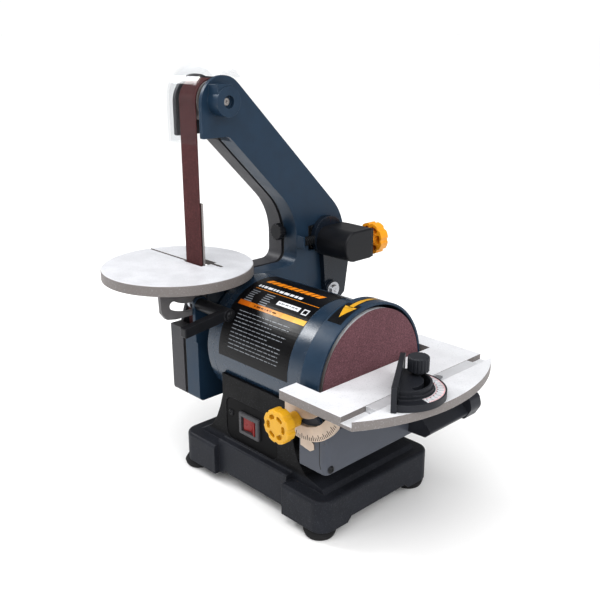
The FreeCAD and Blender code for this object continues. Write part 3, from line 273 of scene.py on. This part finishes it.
PEDESTAL_FOOT = -86   # level above which the base is nearly black: black paint on the pedestal, darkened further as painted shade under the tables
MAKE = {
    "casting": paint((30, 52, 72), 0.4, grain=700, bump=0.22, depth=0.25, mottle=0.07, edge=0.9,
                     wear=0.4, wear_tone=(110, 130, 150), coat=0.04),
    "motor": paint((30, 50, 69), 0.24, grain=500, bump=0.08, mottle=0.06, edge=0.8, wear=0.35,
                   wear_tone=(110, 130, 150), sheen=0.8),
    "cover": paint((62, 62, 66), 0.5, grain=800, bump=0.25, mottle=0.08, edge=0.8, wear=0.35,
                   wear_tone=(120, 120, 124), sheen=0.4, speckle=(1100, (96, 96, 100), 0.4)),
    # The base's pedestal, above PEDESTAL_FOOT, is black paint made darker still as painted shade
    # under the tables.
    "base": paint((38, 40, 46), 0.45, sheen=0.15, grain=520, bump=0.45, depth=0.35, mottle=0.12,
                  edge=1.0, wear=0.35, wear_tone=(92, 94, 100), speckle=(900, (84, 86, 92), 0.3),
                  second=((11, 11, 13), above(PEDESTAL_FOOT))),
    "steel_paint": paint((80, 84, 93), 0.4, grain=420, bump=0.12, mottle=0.05, edge=0.8,
                         wear=0.35, wear_tone=(150, 155, 162)),
    "table": cast_table((228, 229, 232), (126, 121, 119), (176, 178, 182), 0.35,
                        (250, 250, 250), 0.03),
    "grained_table": cast_table((212, 213, 217), (122, 117, 115), (160, 162, 166), 0.45,
                                (245, 245, 245), 0.05),
    "shaded_alloy": paint((120, 118, 119), 0.5, 0.2, grain=900, bump=0.3, mottle=0.08, edge=0.6,
                          wear=0.5, wear_tone=(190, 190, 192)),
    "diecast": paint((196, 180, 165), 0.45, 0.3, grain=700, bump=0.25, mottle=0.08, edge=0.5,
                     wear=0.4),
    "steel": paint((160, 156, 154), 0.32, 0.85, grain=300, bump=0.1, mottle=0.06, edge=0.3,
                   stretch=(8, 1, 1)),
    "zinc": paint((180, 182, 186), 0.3, 0.85, grain=600, bump=0.15, mottle=0.1, edge=0.3,
                  wear=0.5),
    "black_steel": paint((34, 35, 38), 0.35, 0.4, grain=800, bump=0.2, mottle=0.12, edge=0.4,
                         wear=0.5, wear_tone=(130, 130, 132)),
    "rubber": paint((26, 26, 28), 0.7, grain=600, bump=0.3, mottle=0.15, edge=0.8),
    # yellow and deep_yellow are one knob plastic. deep_yellow is darker and more lemon: on the
    # table knob its darkness is painted shade, as the lamps light that knob more; on the guard
    # arrow it is the print colour.
    "yellow": knob_plastic((232, 158, 30), (255, 214, 90)),
    "deep_yellow": knob_plastic((206, 157, 30), (255, 224, 100)),
    "black_plastic": moulded_black((26, 27, 31), 0.4, (96, 98, 104)),
    # Darker copy of the black plastic for the switch plate: its extra darkness is painted shade on
    # the pedestal front.
    "shaded_black_plastic": moulded_black((12, 12, 14), 0.5, (60, 60, 64), 0.12),
    "grey_plastic": moulded_black((44, 46, 52), 0.35, (130, 134, 144)),
    "gauge": paint((36, 38, 44), 0.42, grain=800, bump=0.3, mottle=0.08, edge=0.5, wear=0.4,
                   wear_tone=(120, 122, 128)),
    "red": paint((132, 34, 32), 0.3, grain=300, bump=0.05, mottle=0.08, edge=0.4, wear=0.4,
                 wear_tone=(210, 120, 110), sheen=0.5),
    "bezel": paint((72, 72, 75), 0.3, grain=400, bump=0.08, mottle=0.05, edge=0.5, wear=0.5,
                   wear_tone=(170, 172, 176)),
    "laminate": paint((120, 100, 84), 0.5, 0.6, grain=1400, bump=0.4, stretch=(3, 0.2, 0.2)),
    "alloy": paint((218, 219, 222), 0.42, 0.35, grain=900, bump=0.15, mottle=0.05, edge=0.4,
                   wear=0.4),
    "enamel": paint((24, 33, 45), 0.3, grain=500, bump=0.15, mottle=0.07, edge=0.8, wear=0.3,
                    wear_tone=(90, 104, 120), coat=0.2),
    "print_black": paint((9, 9, 12), 0.3, grain=200, bump=0.04, mottle=0.15, edge=0.05,
                         sheen=0.25),
    "print_white": printed((214, 216, 220), bump=0.1),
    "print_orange": printed((222, 136, 24), 0.3, mottle=0.12, patch=14),
    "print_pink": printed((226, 150, 150), 0.4),
    "print_grey": printed((128, 132, 138)),
    "ink": printed((30, 30, 34), 0.4),
    "grit": lambda name: abrasive(name, linear(88, 50, 51)),
    "disc_grit": lambda name: abrasive(name, linear(118, 82, 89)),
    "clear": clear_plastic,
}
# The label's shaded band, from orange at its left end to yellow at its right end.
BAND = [f"band_{number}" for number in range(1, 7)]
for number, band in enumerate(BAND):
    warmth = number / 5
    MAKE[band] = printed((176 + 40 * warmth, 92 + 76 * warmth, 16 + 34 * warmth), 0.3, mottle=0.06)
MADE = {}


def material(name):
    """The named material, made once."""
    if name not in MADE:
        MADE[name] = MAKE[name](name)
    return MADE[name]


FINISHES = {
    "casting": ["arm_casting", "disc_guard"],
    "motor": ["motor_can", "motor_bell_right", "motor_bell_left"],
    "cover": ["side_cover"],
    "base": ["base_casting"],
    "steel_paint": ["dust_box"],
    "table": ["disc_table", "disc_plate", "drive_pulley", "top_idler", "rear_idler"],
    "diecast": ["front_trunnion", "rear_trunnion", "axle_cradle", "tilt_pointer"],
    "steel": ["motor_rotor", "motor_bearing_left", "motor_bearing_right", "top_axle", "rear_axle",
              "platen", "miter_pivot"],
    "zinc": ["rear_trunnion_pin", "miter_pointer", "cover_screw_upper", "cover_screw_lower",
             "lever_bolt", "lock_bolt"],
    "alloy": ["miter_bar"],
    "black_steel": ["tension_spring", "switch_screw_left", "switch_screw_right", "dust_box_screw"],
    "enamel": ["tension_lever"],
    "rubber": ["foot_front_left", "foot_front_right", "foot_rear_left", "foot_rear_right",
               "cover_seal_outer", "cover_seal_inner"],
    "deep_yellow": ["table_knob"],
    "yellow": ["tracking_knob"],
    "grey_plastic": ["dust_outlet"],
    "shaded_black_plastic": ["switch_plate"],
    "black_plastic": ["inner_knob", "tracking_housing", "lock_lever"],
    "gauge": ["miter_head", "miter_knob"],
    "print_white": ["miter_scale"],
    "red": ["switch_rocker"],
    "bezel": ["switch_bezel"],
    "laminate": ["motor_stator"],
    "grit": ["sanding_belt"],
    "disc_grit": ["abrasive_disc"],
    "grained_table": ["belt_table"],
    "shaded_alloy": ["belt_table_trunnion"],
    "clear": ["belt_guard"],
}
for finish, names in FINISHES.items():
    for name in names:
        NODES[name].data.materials.clear()
        NODES[name].data.materials.append(material(finish))


# ---------------------------------------------------------------- mesh helpers

def piece(name, build, finishes, body, smooth=False):
    """New object from a bmesh builder; finishes are its material slots in order."""
    mesh = bpy.data.meshes.new(name)
    work = bmesh.new()
    build(work)
    bmesh.ops.recalc_face_normals(work, faces=work.faces)
    work.to_mesh(mesh)
    work.free()
    if smooth:
        for face in mesh.polygons:
            face.use_smooth = True
    thing = bpy.data.objects.new(name, mesh)
    bpy.context.scene.collection.objects.link(thing)
    for finish in finishes:
        mesh.materials.append(material(finish))
    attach(thing, body)
    return thing


def wrapped(work, left, right, start, end, radius, index=0, slant=0.0, step=3.0):
    """Patch on a cylinder about the motor axis; angles run from the top towards the operator."""
    count = max(1, math.ceil((end - start) / step))
    rows = []
    for i in range(count + 1):
        share = i / count
        angle = math.radians(start + (end - start) * share)
        y, z = -radius * math.sin(angle), radius * math.cos(angle)
        lean = slant * (0.5 - share)
        rows.append([work.verts.new(at(x + lean, y, z)) for x in (left, right)])
    for a, b in zip(rows, rows[1:]):
        face = work.faces.new((a[0], a[1], b[1], b[0]))
        face.material_index = index


def bar(work, start, end, half, lift, normal, index=0):
    """Thin raised strip between two points of a flat face."""
    along = (end - start).normalized()
    side = normal.cross(along) * half
    low = [start - side, end - side, end + side, start + side]
    base = [work.verts.new(point) for point in low]
    top = [work.verts.new(point + normal * lift) for point in low]
    work.faces.new(top).material_index = index
    for i in range(4):
        j = (i + 1) % 4
        work.faces.new((base[i], base[j], top[j], top[i])).material_index = index


# ---------------------------------------------------------------- printed label on the motor

PANEL = 61.95   # radius of the label's black ground
PRINT = 62.02   # radius of what is printed on it
HEADING, FINE, BAND_START = 2, 3, 4   # material slots of the label


def text_row(work, left, right, start, end, longest, gap, index):
    """Row of word-length dashes that stands for a line of small print."""
    across = left
    while across < right:
        word = random.uniform(0.3, 1) * longest
        wrapped(work, across, min(across + word, right), start, end, PRINT, index)
        across += word + gap


def motor_label(work):
    """Black label whose headings, boxes and text are plain blocks, bars and dashes."""
    random.seed(7)
    wrapped(work, -143, -46.6, -14, 91, PANEL)
    # Slanted heading blocks, a bold row, a thin rule and the shaded band across the panel.
    across = -132.0
    while across < -60:
        width = random.uniform(4.5, 9)
        wrapped(work, across, across + width, 1.5, 7.6, PRINT, HEADING, slant=3.2)
        across += width + 1.6
    text_row(work, -134, -74, 13.6, 16.8, 7, 1.3, 1)
    wrapped(work, -134, -48, 19.0, 19.6, PRINT, HEADING)
    for number in range(len(BAND)):
        left = -138 + 15.2 * number
        wrapped(work, left, left + 15.2, 36.4, 41.4, PRINT, BAND_START + number)
    text_row(work, -116, -84, 38.2, 39.6, 6, 1.2, 0)
    # Rating rows, the boxed plate with its frame, and a round stamp.
    for row in range(6):
        angle = 22.6 + 2.5 * row
        wrapped(work, -134, -127 + random.uniform(0, 6), angle, angle + 0.9, PRINT, FINE)
        wrapped(work, -114, -105 + random.uniform(0, 4), angle, angle + 0.9, PRINT, FINE)
    wrapped(work, -94, -64, 25.8, 30.6, PRINT, 1)
    text_row(work, -92, -66, 27.4, 28.8, 5, 1, 0)
    wrapped(work, -60, -52.5, 25.6, 32, PRINT, 1)
    wrapped(work, -58.6, -53.9, 26.9, 30.7, PRINT + 0.03, 0)
    for row in range(11):
        angle = 46.4 + 3.4 * row
        stop = -58 - random.choice((0, 4, 22)) if row % 3 == 2 else -58 - random.uniform(0, 4)
        text_row(work, -130, stop, angle, angle + 0.75, 8, 1.1, FINE)


piece("motor_label", motor_label,
      ["print_black", "print_white", "print_orange", "print_grey"] + BAND, "frame")


def guard_arrow(work):
    """Curved arrow on the guard's rim, with its dark ground."""
    rim, arrow = 68.68, 68.75
    middle = -13.4
    wrapped(work, middle - 3.6, middle + 3.4, -17, 9, rim, 0)
    wrapped(work, middle - 8, middle + 8, 9, 33, rim, 0)
    for start, end, half in ((-15, -9, 1.2), (-9, 0, 1.9), (0, 14.6, 2.4)):
        wrapped(work, middle - half, middle + half, start, end, rim + 0.06, 1, step=2)
    # The head narrows to its tip in short steps that follow the rim.
    steps = 5
    for i in range(steps):
        rows = []
        for share in (i / steps, (i + 1) / steps):
            angle = math.radians(13.4 + 14 * share)
            half = 6.8 * (1 - share)
            rows.append([work.verts.new(at(middle + side * half, -arrow * math.sin(angle),
                                           arrow * math.cos(angle))) for side in (-1, 1)])
        work.faces.new((rows[0][0], rows[0][1], rows[1][1], rows[1][0])).material_index = 1


piece("guard_arrow", guard_arrow, ["print_black", "deep_yellow"], "frame")


# ---------------------------------------------------------------- scales, ticks and marks

GAUGE_PIVOT = (55, -26)
SCALE_TOP = 16.52
TILT_AXIS = (-12.5, 10.3)   # x and z
TRUNNION_FACE, BOX_FACE = -77, -72


def gauge_scale(work):
    """Ticks and two printed arcs on the gauge's angle scale."""
    up = Vector((0, 0, 1))

    def spot(radius, angle):
        turn = math.radians(angle)
        return at(GAUGE_PIVOT[0] + radius * math.cos(turn),
                  GAUGE_PIVOT[1] + radius * math.sin(turn), SCALE_TOP)

    for number, angle in enumerate(range(-12, 99, 3)):
        reach = 29.6 if number % 3 == 0 else 31.6
        index = 0 if number % 3 == 0 else 1
        bar(work, spot(reach, angle), spot(33.9, angle), 0.14 * MM, 0.03 * MM, up, index)
    for radius in (27.6, 34.1):
        for angle in range(-14, 98, 4):
            bar(work, spot(radius, angle), spot(radius, angle + 4), 0.22 * MM, 0.03 * MM, up, 1)
    for angle in range(-9, 96, 9):
        bar(work, spot(28.4, angle - 1), spot(28.4, angle + 1), 0.5 * MM, 0.03 * MM, up, 0)


piece("gauge_scale_print", gauge_scale, ["ink", "print_pink"], "gauge_head")


def tilt_scale(work):
    """Raised degree ticks round the edge of the disc table's front trunnion."""
    rim = 47.2
    for number, angle in enumerate(range(-134, -28, 3)):
        turn = math.radians(angle)
        reach = 42.4 if number % 3 == 0 else 44.2
        inner, outer = [(TILT_AXIS[0] + radius * math.cos(turn),
                         TILT_AXIS[1] + radius * math.sin(turn)) for radius in (reach, rim)]
        # The plate's sides are cut straight, so only the ticks between them are drawn.
        if outer[1] < 0 and -33 < outer[0] < 29:
            bar(work, at(inner[0], TRUNNION_FACE, inner[1]), at(outer[0], TRUNNION_FACE, outer[1]),
                0.3 * MM, 0.15 * MM, Vector((0, -1, 0)))


piece("tilt_scale_ticks", tilt_scale, ["ink"], "disc_rest")


def box_seam(work):
    """Dark joint line near the front corner of the dust box."""
    spots = [at(x, BOX_FACE, z) for x, z in ((5.4, -27.5), (4.6, -31), (4.6, -57), (6.2, -62))]
    for first, last in zip(spots, spots[1:]):
        bar(work, first, last, 0.45 * MM, 0.08 * MM, Vector((0, -1, 0)))


piece("dust_box_seam", box_seam, ["ink"], "frame")


def lock_screw(work):
    """Pan-head screw with a cross recess in the hub of the lock lever."""
    centre = at(-131, -56.5, 39.1)
    profile = ((-1.0, 2.9), (0.2, 2.9), (0.2, 4.6), (1.2, 4.3), (2.0, 3.2), (2.3, 1.6))
    count = 32
    rows = []
    for out, radius in profile:
        ring = []
        for i in range(count):
            angle = 2 * math.pi * i / count
            # The recess pulls four narrow arms of the crown inwards.
            arm = max(0.0, math.cos(4 * angle)) ** 6 if radius < 3.3 and out > 1 else 0.0
            ring.append(work.verts.new(centre + Vector((
                out - 1.1 * arm, radius * math.cos(angle), radius * math.sin(angle))) * MM))
        rows.append(ring)
    for a, b in zip(rows, rows[1:]):
        for i in range(count):
            j = (i + 1) % count
            work.faces.new((a[i], a[j], b[j], b[i]))
    work.faces.new(rows[-1])


piece("lock_lever_screw", lock_screw, ["black_steel"], "lock", smooth=True)


# ---------------------------------------------------------------- light, floor and camera

LIT_SPOT = Vector((0, 0, 0.15))   # what the area lights point at


def add_light(name, spot, size, power):
    """Rectangular area light."""
    data = bpy.data.lights.new(name, "AREA")
    data.shape = "RECTANGLE"
    data.size, data.size_y = size
    data.energy = power
    lamp = bpy.data.objects.new(name, data)
    lamp.location = spot
    lamp.rotation_euler = (LIT_SPOT - Vector(spot)).to_track_quat("-Z", "Y").to_euler()
    bpy.context.scene.collection.objects.link(lamp)


def studio():
    """White floor without an edge, a wide soft sun and a sky that is bright only near the floor."""
    world = bpy.data.worlds.new("studio")
    bpy.context.scene.world = world
    world.use_nodes = True
    tree = world.node_tree
    coords = tree.nodes.new("ShaderNodeTexCoord")
    parts = tree.nodes.new("ShaderNodeSeparateXYZ")
    fade = tree.nodes.new("ShaderNodeMapRange")
    limits = {"From Min": 0.045, "From Max": 0.16, "To Min": 1.05, "To Max": 0.38}
    for name, value in limits.items():
        fade.inputs[name].default_value = value
    tree.links.new(coords.outputs["Generated"], parts.inputs["Vector"])
    tree.links.new(parts.outputs["Z"], fade.inputs["Value"])
    tree.links.new(fade.outputs["Result"], tree.nodes["Background"].inputs["Strength"])
    tree.nodes["Background"].inputs["Color"].default_value = (1, 1, 1, 1)
    sun = bpy.data.lights.new("sun", "SUN")
    sun.energy = 2.7
    sun.angle = math.radians(85)
    lamp = bpy.data.objects.new("sun", sun)
    lamp.rotation_euler = Vector((0.42, -0.34, 0.84)).to_track_quat("Z", "Y").to_euler()
    bpy.context.scene.collection.objects.link(lamp)
    add_light("strip", (-0.35, -1.1, 1.5), (0.5, 1.2), 3)
    add_light("flag", (-1.15, -0.5, 1.15), (0.6, 0.4), 11)
    add_light("side", (1.5, 0.1, 0.9), (0.6, 0.9), 5)
    floor = bpy.data.meshes.new("floor")
    far = 120
    floor.from_pydata([(-far, -far, 0), (far, -far, 0), (far, far, 0), (-far, far, 0)], [],
                      [(0, 1, 2, 3)])
    thing = bpy.data.objects.new("floor", floor)
    bpy.context.scene.collection.objects.link(thing)
    g = Graph("floor")
    g.link(g.mix(g.ramp(g.noise(3, 3), 0, 1), (0.93, 0.93, 0.93, 1), (0.95, 0.95, 0.95, 1)),
           g.shader.inputs["Base Color"])
    g.shader.inputs["Roughness"].default_value = 1.0
    g.shader.inputs["Specular IOR Level"].default_value = 0.1
    floor.materials.append(g.material)


def add_camera():
    """Camera at the front right, a little above the tables."""
    right = Vector((0.6962, 0.7179, 0.0)).normalized()
    back = Vector((0.6822, -0.6615, 0.3114)).normalized()
    up = back.cross(right)
    turn = Matrix((right, up, back)).transposed().to_4x4()
    data = bpy.data.cameras.new("camera")
    data.sensor_width = 36
    data.lens = 48.82
    data.shift_x = -0.0111
    data.shift_y = -0.0028
    data.clip_start = 0.01
    camera = bpy.data.objects.new("camera", data)
    camera.matrix_world = Matrix.Translation(at(439.5, -508.9, 293.7)) @ turn
    bpy.context.scene.collection.objects.link(camera)
    bpy.context.scene.camera = camera


studio()
add_camera()
view = bpy.context.scene.view_settings
view.view_transform = "Standard"
view.gamma = 0.88
